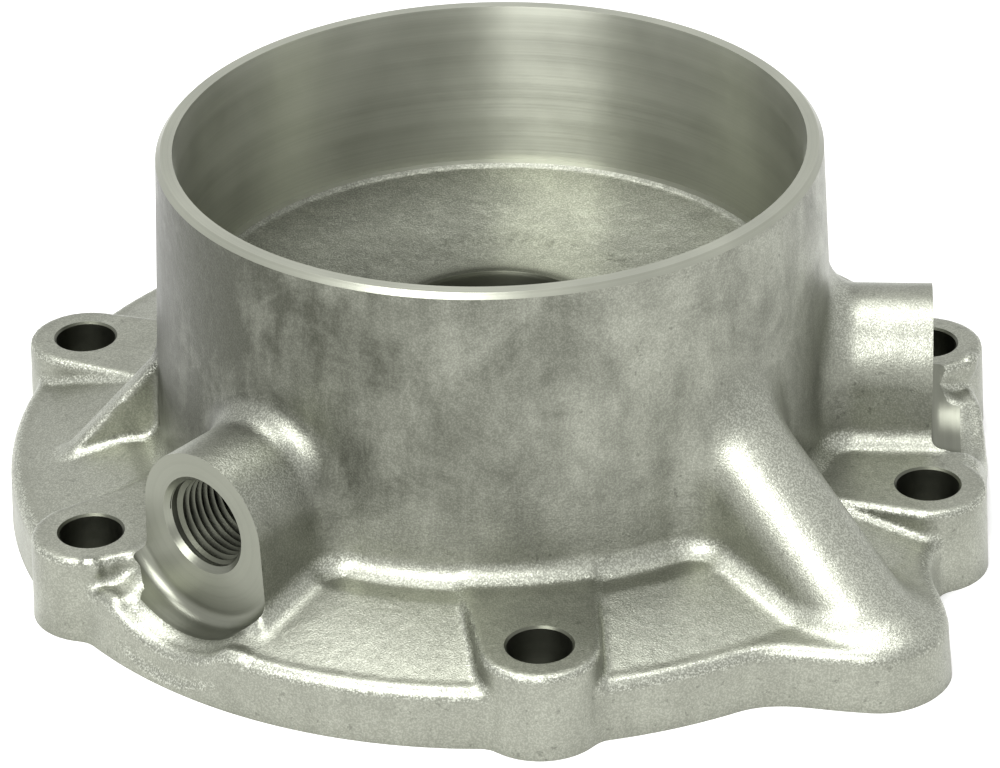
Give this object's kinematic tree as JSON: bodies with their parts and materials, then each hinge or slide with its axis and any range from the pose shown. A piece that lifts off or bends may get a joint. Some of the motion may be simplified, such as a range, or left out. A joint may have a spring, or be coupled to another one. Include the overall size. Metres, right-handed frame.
{
  "type": "gearbox guard",
  "caption": "Cast aluminium gearbox cover with an open machined cup, a bolted flange, side ports with spot-faced bosses and a sloping duct rib.",
  "frame": {"origin": "centre of the ring-shaped mounting face, on the axis of the cup", "axes": "+Z along the cup's axis out of its open end, +X towards the right-hand port boss, -Y towards the front of the flange"},
  "size_m": [0.1789, 0.1808, 0.069],
  "materials": {
    "cast_aluminium": "fine as-cast skin, satin grey, with bright turned and spot-faced areas"
  },
  "bodies": {
    "root": {"housing": "cast_aluminium"}
  },
  "joints": []
}
